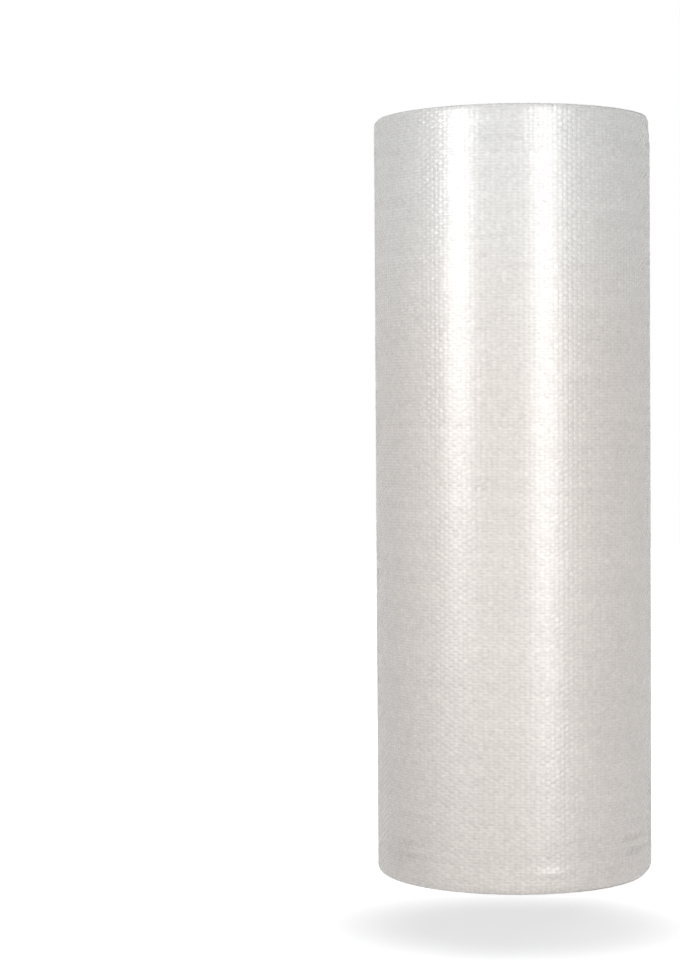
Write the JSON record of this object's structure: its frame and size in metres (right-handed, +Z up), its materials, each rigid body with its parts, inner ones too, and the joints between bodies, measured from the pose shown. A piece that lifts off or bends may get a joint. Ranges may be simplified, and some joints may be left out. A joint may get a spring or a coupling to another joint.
{
  "type": "bubble wrap roll",
  "caption": "Tall upright roll of clear small-bubble wrap with a round shaft hole through its middle, spiral turns at both ends and a fluted side of bubble columns.",
  "frame": {"origin": "on the winding axis, in the plane the roll stands on", "axes": "+Z up along the winding axis, front of the roll towards -Y"},
  "size_m": [0.5472, 0.5484, 1.5],
  "materials": {
    "bubble_film": "clear polyethylene bubble film, milky and glossy where many turns lie on each other"
  },
  "bodies": {
    "root": {"bubble_wrap_roll": "bubble_film"}
  },
  "joints": []
}
